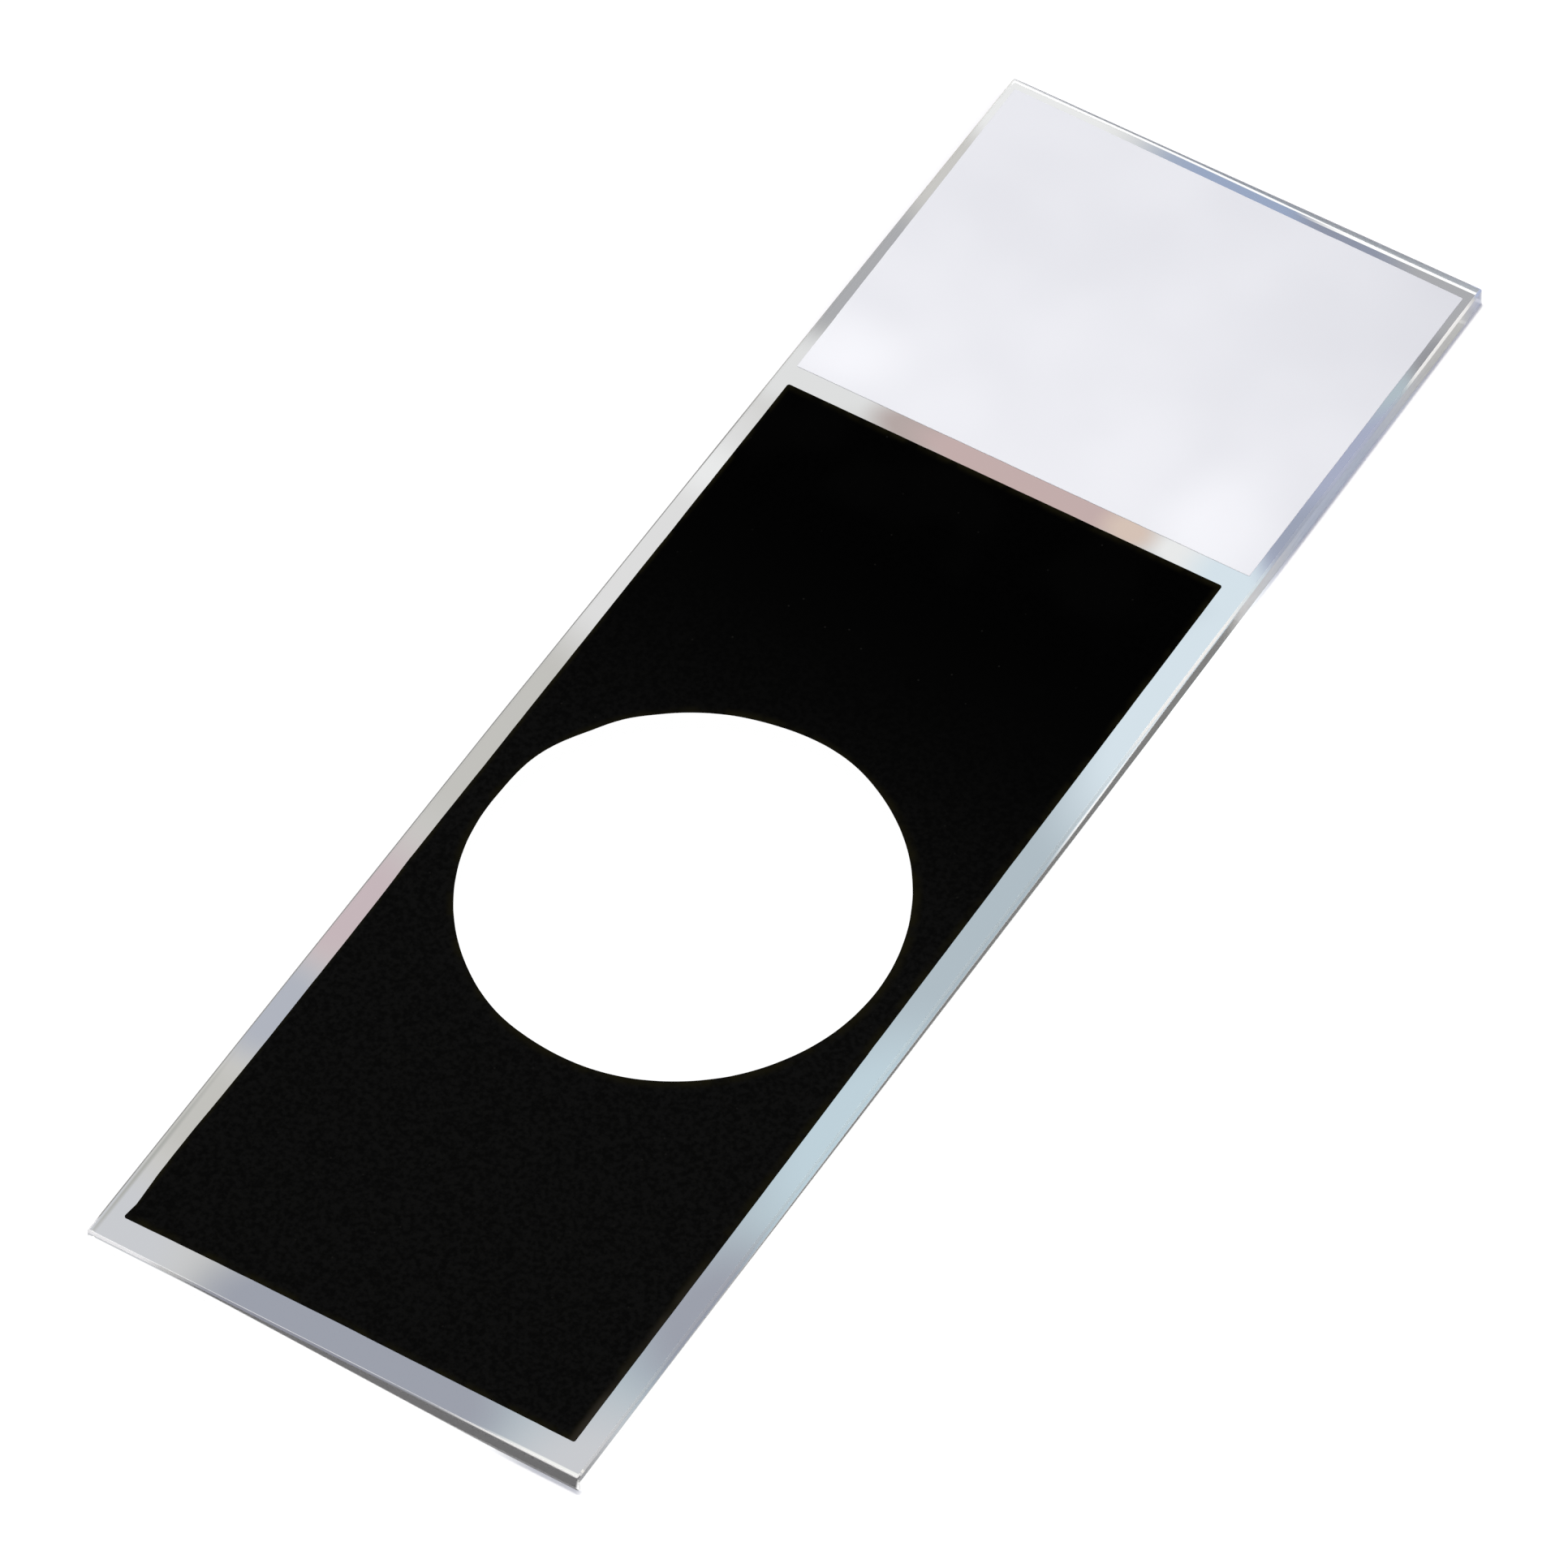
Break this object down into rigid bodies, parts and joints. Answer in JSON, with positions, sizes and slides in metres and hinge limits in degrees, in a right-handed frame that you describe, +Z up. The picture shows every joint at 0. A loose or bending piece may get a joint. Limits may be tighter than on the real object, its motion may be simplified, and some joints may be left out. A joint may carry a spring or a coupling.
{
  "type": "microscope slide",
  "caption": "Flat glass microscope slide with ground edges, a black printed mask open in a round clear well, and a white writing field at one end.",
  "frame": {"origin": "centre of the underside of the glass, on the surface the slide lies on", "axes": "+Z up out of the printed face, +Y along the slide towards the writing field, +X across the slide to the right when the writing field is at the far end"},
  "size_m": [0.025, 0.075, 0.001],
  "materials": {
    "clear_glass": "clear float glass, polished faces, clear cut sides and finely ground white chamfers",
    "black_mask": "matte black water-repelling print with a very fine grain",
    "white_field": "satin white print to write on, smooth"
  },
  "bodies": {
    "root": {"glass_plate": "clear_glass", "mask_print": "black_mask", "writing_field": "white_field"}
  },
  "joints": []
}
